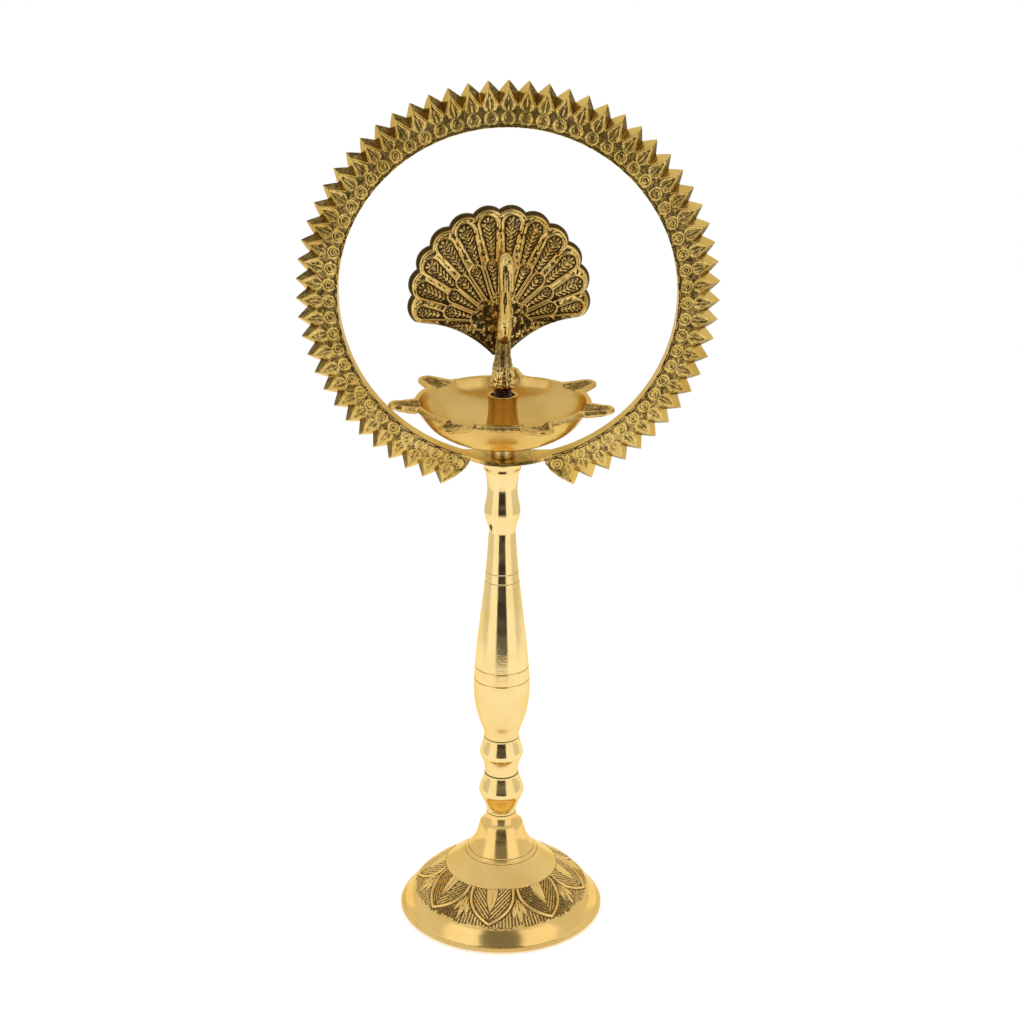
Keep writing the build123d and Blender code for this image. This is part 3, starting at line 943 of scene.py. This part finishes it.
def arc_through(start, middle, end, count):
    """Points of the circle through three points, from start up to but without end."""
    (ax, ay), (bx, by), (cx, cy) = start, middle, end
    d = 2 * (ax * (by - cy) + bx * (cy - ay) + cx * (ay - by))
    ux = ((ax**2 + ay**2) * (by - cy) + (bx**2 + by**2) * (cy - ay) + (cx**2 + cy**2) * (ay - by)) / d
    uy = ((ax**2 + ay**2) * (cx - bx) + (bx**2 + by**2) * (ax - cx) + (cx**2 + cy**2) * (bx - ax)) / d
    first = math.atan2(ay - uy, ax - ux)
    half = math.remainder(math.atan2(by - uy, bx - ux) - first, FULL_TURN)
    last = math.remainder(math.atan2(cy - uy, cx - ux) - first, FULL_TURN)
    if half * last < 0:
        last += math.copysign(FULL_TURN, half)
    radius = math.hypot(ax - ux, ay - uy)
    sweep = first + np.arange(count) / count * last
    return np.column_stack([ux + radius * np.cos(sweep), uy + radius * np.sin(sweep)])


def tail_point(radius, angle):
    return (radius * math.cos(angle), TAIL_CENTRE + radius * math.sin(angle))


def tail_edge(angles):
    """Distance from the hub to the fan's outline in each direction."""
    first = math.pi / 2 - TAIL_LOBES / 2 * TAIL_LOBE_PITCH
    points = []
    for lobe in range(TAIL_LOBES):
        start = first + lobe * TAIL_LOBE_PITCH
        low_end = tail_point(TAIL_NOTCH_R, start)
        tip = tail_point(TAIL_TIP_R, start + TAIL_LOBE_PITCH / 2)
        high_end = tail_point(TAIL_NOTCH_R, start + TAIL_LOBE_PITCH)
        points.append(arc_through(low_end, tip, high_end, 24))
    right = tail_point(TAIL_NOTCH_R, first)
    left = (-right[0], right[1])
    points.append(arc_through(left, (-17.0, 271.6), (-3.0, TAIL_LOW_POINT), 30))
    points.append(np.array([(-3.0, TAIL_LOW_POINT), (0.0, TAIL_LOW_POINT - 0.3), (3.0, TAIL_LOW_POINT)]))
    points.append(arc_through((3.0, TAIL_LOW_POINT), (17.0, 271.6), right, 30)[1:])
    outline = np.vstack(points) - (0, TAIL_HUB)
    turn = np.arctan2(outline[:, 1], outline[:, 0]) % FULL_TURN
    order = np.argsort(turn)
    return np.interp(angles % FULL_TURN, turn[order], np.hypot(*outline[order].T), period=FULL_TURN)


def feather(angle, radius, middle, tip, half, taper, root):
    """Distance inside one long round-ended feather, with its own cross and long coordinates."""
    off = centred(angle - middle, FULL_TURN)
    across = radius * np.sin(off)
    along = radius * np.cos(off)
    end = tip - half
    side = half - (end - along) * taper - np.abs(across)
    cap = half - np.hypot(across, along - end)
    inside = np.where(along > end, cap, np.minimum(side, along - root))
    inside = np.where(np.abs(off) < 1.2, inside, -50.0)
    return inside, across, along


def plume(inside, across, along, end, height, seed, points):
    """Relief of one feather: raised outline, middle rib, slanted barbs that fan out at its tip."""
    barbs = np.cos(FULL_TURN * (along - 0.95 * np.abs(across)) / 1.75) * 0.5 + 0.5
    spokes = np.cos(np.arctan2(across, along - end) * 8) * 0.5 + 0.5
    texture = np.where(along > end - 0.6, spokes * rise(inside, 0, 1.8), barbs)
    texture *= 0.8 + 0.3 * lumps(points, 1.2, seed)
    body = -0.42 + 0.66 * texture + 0.30 * ridge(across, 0.45) * (along < end)
    border = 0.56 * ridge(inside - 0.5, 0.6)
    moat = -0.42 * ridge(inside - 1.3, 0.5)
    line = np.where(inside < 1.0, border, np.where(inside < 1.6, moat + 0.05, body))
    return height + line


def outer_size(middle, lean):
    """Tip radius and half width of an outer feather."""
    tip = float(tail_edge(np.array([middle]))[0]) - TAIL_BEVEL - 1.3
    return tip, OUTER_HALF - 0.9 * (lean > 1.3)


def inner_size(_, lean):
    """Tip radius and half width of an inner feather."""
    return 28.6 - 3.2 * (lean / 1.3) ** 2, INNER_HALF


def with_feathers(ground, angle, radius, points, leans, size_of, taper, root, height, seed):
    """The ground's relief with a row of feathers over it, at each lean to both sides of upright."""
    layer = np.full_like(ground, NO_FEATHER)
    for side, lean in itertools.product((1, -1), leans):
        middle = math.pi / 2 + side * lean
        tip, half = size_of(middle, lean)
        inside, across, along = feather(angle, radius, middle, tip, half, taper, root)
        shape = plume(inside, across, along, tip - half, height, seed, points)
        layer = np.where(inside > 0, np.maximum(layer, shape), layer)
    return np.where(layer > NO_FEATHER, layer, ground)


def tail_relief(angle, radius, edge, points):
    """Height of the fan's cast front above its plate."""
    height = 0.04 + 0.26 * lumps(points, 0.9, 31)
    height = np.maximum(height, 0.36 * ridge(edge - radius - TAIL_BEVEL - 0.5, 0.55))
    place_on = (angle, radius, points)
    height = with_feathers(height, *place_on, OUTER_FEATHERS, outer_size, 0.145, 12.0, 0.0, 32)
    height = with_feathers(height, *place_on, INNER_FEATHERS, inner_size, 0.15, 6.0, 0.45, 33)
    below = rise(-np.sin(angle), -0.15, 0.35)
    wave = 12.8 + 0.9 * np.cos(angle * 11) + 9.0 * below - radius
    pebbles = 0.42 + 0.44 * lumps(points, 1.15, 34) + 0.16 * lumps(points, 0.6, 36)
    hub = np.where(wave < 1.0, 0.62 + 0.34 * ridge(wave - 0.5, 0.6), pebbles)
    return np.where(wave > 0, hub, height)


def tail_mesh():
    """Fan: cast front, bevelled lobed edge, plain back. Built round the point its feathers spread from."""
    rings = []
    shares = np.concatenate([np.linspace(0.02, 0.24, 14)[:-1], np.linspace(0.24, 1.0, 96)])
    for share in shares:
        angle = round_turn(180 if share < 0.12 else 720)
        edge = tail_edge(angle)
        radius = share * (edge - TAIL_BEVEL)
        height = tail_relief(angle, radius, edge, upright(radius, angle))
        fade = 1 - rise(share, 0.985, 1.0)
        layer = 0.45 * (radius < 26.5) + 0.15 * (radius < 13.0)
        dirt = 0.02 + 0.85 * dirt_of(height - layer, 0.16, -0.30)
        rings.append(tail_ring(angle, radius, TAIL_FRONT - height * fade, dirt * fade))
    angle = round_turn(720)
    edge = tail_edge(angle)
    back = TAIL_FRONT + TAIL_THICK
    bevel = [(1.4, 0.15, 0.7), (0.75, 0.75, 0.95), (0.1, 1.6, 1.0), (0.0, 1.9, 1.0)]
    for inset, depth, dirt in bevel + [(0.0, TAIL_THICK - 0.3, 0.9)]:
        rings.append(tail_ring(angle, edge - inset, TAIL_FRONT + depth, dirt))
    for share in (0.985, 0.93, 0.8, 0.6, 0.4, 0.2, 0.08):
        radius = edge * share
        grain = 0.12 * lumps(upright(radius, angle), 2.5, 35)
        rings.append(tail_ring(angle, radius, back + grain, 0.3))
    front_pole = tail_ring(np.zeros(1), np.zeros(1), TAIL_FRONT - 0.6, 0.3)
    back_pole = tail_ring(np.zeros(1), np.zeros(1), back, 0.3)
    verts, faces, grime = join_rings([front_pole] + rings + [back_pole], closed=False)
    return make_piece("peacock_fan", yawed(verts), faces, grime, sharp=50.0)


def tail_ring(angle, radius, y, dirt):
    return standing_ring(angle, radius, y, dirt, TAIL_HUB)


def yawed(points):
    """Points turned with the peacock about the lamp's axis."""
    cos, sin = math.cos(PEACOCK_YAW), math.sin(PEACOCK_YAW)
    x, y = points[:, 0], points[:, 1]
    return np.column_stack([x * cos - y * sin, x * sin + y * cos, points[:, 2]])


def add_ball(shape, centre, radii):
    move = Matrix.Translation(Vector(centre) * MM) @ Matrix.Diagonal(Vector([*radii, 1.0 / MM]) * MM)
    bmesh.ops.create_icosphere(shape, subdivisions=4, radius=1.0, matrix=move)


def add_bar(shape, start, end, start_r, end_r, squeeze=1.0):
    """Tapered round bar between two points, with a ball at each end to close the joints."""
    way = Vector(end) - Vector(start)
    middle = (Vector(start) + Vector(end)) / 2 * MM
    turn = way.to_track_quat("Z", "Y").to_matrix().to_4x4()
    move = Matrix.Translation(middle) @ turn @ Matrix.Diagonal(Vector((1.0, squeeze, 1.0, 1.0)))
    bmesh.ops.create_cone(
        shape, cap_ends=True, segments=48, radius1=start_r * MM, radius2=end_r * MM,
        depth=way.length * MM, matrix=move,
    )


def bird_blank():
    """The bird's masses, overlapping: flared foot, legs, body, curved neck, head and hanging beak."""
    shape = bmesh.new()
    add_bar(shape, (0, 0, 249.5), (0, 0, 255.0), 5.7, 4.7)
    add_bar(shape, (0, 0, 254.9), (0, 0, 263.0), 4.7, 3.35)
    add_bar(shape, (0, 0, 262.5), (0, -1.5, 273.0), 3.35, 3.1)
    for side in (-1, 1):
        add_ball(shape, (side * 2.5, -2.9, 253.4), (2.2, 2.3, 4.6))
        add_ball(shape, (side * 2.9, -3.4, 250.9), (2.1, 2.2, 1.9))
    add_ball(shape, (0, 0.8, 274.5), (3.5, 8.6, 6.6))
    add_ball(shape, (0, -3.9, 276.3), (3.1, 3.0, 5.2))
    add_bar(shape, (0, -3.8, 276.0), (0, -5.6, 284.0), 3.1, 2.7)
    add_ball(shape, (0, -5.6, 284.0), (2.7, 2.7, 2.7))
    add_bar(shape, (0, -5.6, 284.0), (0, -5.4, 293.0), 2.7, 2.6)
    add_ball(shape, (0, -5.4, 293.0), (2.6, 2.6, 2.6))
    add_bar(shape, (0, -5.4, 293.0), (0, -5.0, 301.0), 2.6, 2.9)
    add_ball(shape, (0, -6.4, 303.6), (3.5, 4.6, 5.0))
    add_bar(shape, (0, -8.2, 304.6), (0, -9.8, 292.8), 3.5, 3.1, squeeze=0.75)
    return shape


def remeshed(name, shape, voxel):
    """One closed skin round overlapping masses."""
    blank = shape_object(name + "_blank", shape)
    change = blank.modifiers.new("skin", "REMESH")
    change.mode = "VOXEL"
    change.voxel_size = voxel * MM
    soften = blank.modifiers.new("soften", "SMOOTH")
    soften.factor = 0.5
    soften.iterations = 5
    return blank


def cut_bore(blank, radius, low_z, high_z):
    """Takes a round bore about Z out of a blank, as the last modifier."""
    shape = bmesh.new()
    middle = Matrix.Translation((0, 0, (low_z + high_z) / 2 * MM))
    bmesh.ops.create_cone(
        shape, cap_ends=True, segments=64, radius1=radius * MM, radius2=radius * MM,
        depth=(high_z - low_z) * MM, matrix=middle,
    )
    cutter = shape_object("bore", shape)
    change = blank.modifiers.new("bore", "BOOLEAN")
    change.operation = "DIFFERENCE"
    change.solver = "EXACT"
    change.object = cutter
    return cutter


def frozen(blank, *helpers):
    """The blank's mesh with its modifiers applied. The blank and its helpers are removed."""
    bpy.context.view_layer.update()
    graph = bpy.context.evaluated_depsgraph_get()
    mesh = bpy.data.meshes.new_from_object(blank.evaluated_get(graph))
    for helper in (blank, *helpers):
        bpy.data.objects.remove(helper, do_unlink=True)
    return mesh


def bird_mesh():
    """Peacock's body: remeshed masses with a painted highlight down the chest (patina taken off there),
    grooved head and rough cast legs.
    """
    skin = frozen(remeshed("bird", bird_blank(), 0.33))
    points = points_of(skin)
    way = np.zeros(len(skin.vertices) * 3)
    skin.vertex_normals.foreach_get("vector", way)
    way = way.reshape(-1, 3)
    x, y, z = points.T
    legs = 1 - rise(z, 256.0, 262.0)
    rough = lumps(points, 1.3, 41) * 0.34 * legs + lumps(points, 0.62, 42) * (0.07 + 0.2 * legs)
    cleft = -0.9 * ridge(x, 0.7) * (1 - rise(z, 254.0, 260.0)) * (y < -2)
    beak = rise(z, 291.5, 293.0) * (1 - rise(z, 299.5, 302.0)) * (y < -7)
    grooves = -0.14 * (ridge(np.abs(x) - 1.5, 0.42) + ridge(x, 0.3)) * beak
    eye = np.hypot(x - 0.2, z - 305.3)
    crest = (0.34 * ridge(eye - 1.15, 0.4) - 0.25 * ridge(eye, 0.75)) * (y < -6)
    neck = 0.16 * lumps(points * (1.6, 1.0, 0.35), 1.0, 43) * rise(z, 276, 280) * (1 - rise(z, 298, 301))
    move = rough + cleft + grooves + crest + neck
    points += way * move[:, None]
    points[:, 1] = np.minimum(points[:, 1], TAIL_FRONT + 0.15)
    points[:, 2] = np.maximum(points[:, 2], low("peacock_body"))
    shaft = rise(z, 256.5, 259.5) * (1 - rise(z, 270.0, 273.0))
    hollows = dirt_of(rough + cleft + grooves + neck * 0.7, 0.04, -0.26)
    dirt = 0.10 + 0.48 * shaft + hollows * (0.75 - 0.42 * legs)
    # Painted highlight: the patina is mostly taken off the front of the chest, so a bright stripe shows
    # there.
    chest_painted_highlight = rise(z, 270.5, 272) * (1 - rise(z, 280, 281.5)) * (y < -5.2)
    dirt *= 1 - 0.9 * chest_painted_highlight
    set_points(skin, yawed(points), dirt)
    skin.update()
    body = add_object("bird_cut", skin)
    cutter = cut_bore(body, FINIAL_BORE_R, low("peacock_body") - 1, top("finial_stud") + 0.2)
    mesh = frozen(body, cutter)
    mesh.name = "peacock_bird"
    smooth(mesh, 55.0)
    return add_object("peacock_bird", mesh)


# ---------------------------------------------------------------- the lamp

LOWER_BEAD = [(6.6, 48.2), (7.3, 51.0), (8.5, 54.2), (9.75, 56.9), (10.2, 58.4), (10.1, 59.6)]
LOWER_BEAD += [(9.4, 61.9), (8.4, 64.6), (7.8, 66.6)]
UPPER_BEAD = [(7.4, 68.2), (8.1, 72.2), (9.1, 75.3), (9.75, 76.9), (9.75, 78.2), (9.2, 80.4)]
UPPER_BEAD += [(8.4, 83.2), (8.0, 84.9)]

place(foot_mesh(), "foot", "base", foot_brass, "base")
for name, node, side in (("bead_lower", "lower_bead", LOWER_BEAD), ("bead_upper", "upper_bead", UPPER_BEAD)):
    place(bead_mesh(name, side, low(node), top(node)), node, "turned_brass", turned_brass, node)
place(stem_mesh(), "column", "turned_brass", turned_brass, "stem")
place(spacer_mesh(), "top_stud", "turned_brass", spacer_brass, "spacer")
place(collar_mesh(), "collar", "turned_brass", collar_brass, "collar")
place(ring_mesh(), "ring", "cast_brass", ring_brass, "prabhavali")
place(dish_mesh(), "dish", "dish_brass", bowl_brass, "oil_dish")
place(tail_mesh(), "peacock", "peacock_brass", bird_brass, "peacock_tail")
place(bird_mesh(), "peacock", "peacock_brass", bird_brass, "peacock_body")

# Threaded rods: piece, node, body, radius, pitch, slot and material.
for name, node, body, radius, pitch, slot, material in (
    ("foot_rod", "tie_rod", "foot", 3.0, 1.0, "steel", zinc),
    ("column_stud", "upper_stud", "top_stud", 3.0, 1.0, "steel", zinc),
    ("finial_screw", "finial_stud", "finial_stud", reach("finial_stud"), 1.25, "dark_steel", oxide),
):
    place(threaded_rod(name, radius, low(node), top(node), pitch), body, slot, material, node)

for name in ("base_washer", "base_nut"):
    node = bpy.data.objects[name]
    node.data.materials.clear()
    node.data.materials.append(zinc)


# ---------------------------------------------------------------- studio

FLOOR_R = 0.5


def floor_disc():
    """Round white table top under the lamp. It ends short of the camera, so brass mirrors its edge."""
    shape = bmesh.new()
    bmesh.ops.create_circle(shape, cap_ends=True, segments=96, radius=FLOOR_R)
    floor = shape_object("floor", shape)
    material, graph, spot = new_material("white_table")
    tone = graph.mix(graph.noise(spot, 9.0), colour(0.90, 0.90, 0.90), colour(0.93, 0.93, 0.93))
    shader = graph.add(
        "BsdfPrincipled", Base_Color=tone, Roughness=0.9, Specular_IOR_Level=0.1,
        Emission_Color=colour(1, 1, 1), Emission_Strength=0.42,
    )
    graph.add("OutputMaterial", Surface=shader)
    floor.data.materials.append(material)


def studio():
    """White surround with a soft box to each side of a dark gap in front, where the camera stands.

    Angles are in degrees: aside is measured from straight ahead, and up from level.
    """
    world = bpy.data.worlds.new("studio")
    bpy.context.scene.world = world
    world.use_nodes = True
    graph = Graph(world.node_tree)
    split = graph.add("SeparateXYZ", Vector=graph.add("TexCoord", output=0)).node
    x, y, z = split.outputs
    aside = graph.math("ARCTAN2", graph.math("ABSOLUTE", x), graph.math("MULTIPLY", y, -1.0))
    up = graph.math("ARCSINE", z)

    def over(value, start, end, to_start, to_end):
        return graph.span(value, math.radians(start), math.radians(end), to_start, to_end)

    beside = graph.math("MULTIPLY", over(aside, 25, 28, 0.0, 1.0), over(aside, 66, 76, 1.0, 0.0))
    box_level = graph.math("MULTIPLY", beside, over(up, 42, 54, 1.0, 0.0))
    surround = graph.math("ADD", over(aside, 80, 150, 0.80, 0.88), over(up, 35, 75, 0.0, -0.02))
    lit = graph.math("ADD", surround, graph.math("MULTIPLY", box_level, 0.36))
    gap = graph.math("MULTIPLY", over(aside, 24, 27, 1.0, 0.0), over(up, 52, 64, 1.0, 0.0))
    dark = graph.math("MULTIPLY", gap, over(up, -2, 18, 0.95, 0.70))
    level = graph.math("MULTIPLY", lit, graph.math("SUBTRACT", 1.0, dark))
    shown = graph.add("Background", Color=colour(1, 1, 1), Strength=1.0)
    light = graph.add("Background", Color=colour(1.0, 0.985, 0.96), Strength=level)
    both = graph.tree.nodes.new("ShaderNodeMixShader")
    for socket, value in zip(both.inputs, (graph.add("LightPath", output=0), light, shown)):
        graph.feed(socket, value)
    graph.add("OutputWorld", Surface=both.outputs[0])


def camera():
    """Camera in front of the lamp, looking down on it by the view's pitch."""
    pitch, roll = math.radians(20.2), math.radians(0.3)
    distance = 0.8755
    aim = Vector((0.0042, 0.0, 0.1927))
    data = bpy.data.cameras.new("camera")
    data.lens = 71.09
    data.sensor_width = 36.0
    data.clip_start = 0.01
    view = add_object("camera", data)
    view.location = aim + distance * Vector((0, -math.cos(pitch), math.sin(pitch)))
    tilt = Matrix.Rotation(math.pi / 2 - pitch, 3, "X") @ Matrix.Rotation(roll, 3, "Z")
    view.rotation_euler = tilt.to_euler()
    bpy.context.scene.camera = view


floor_disc()
studio()
camera()
bpy.context.scene.view_settings.view_transform = "Standard"
bpy.context.scene.view_settings.look = "None"
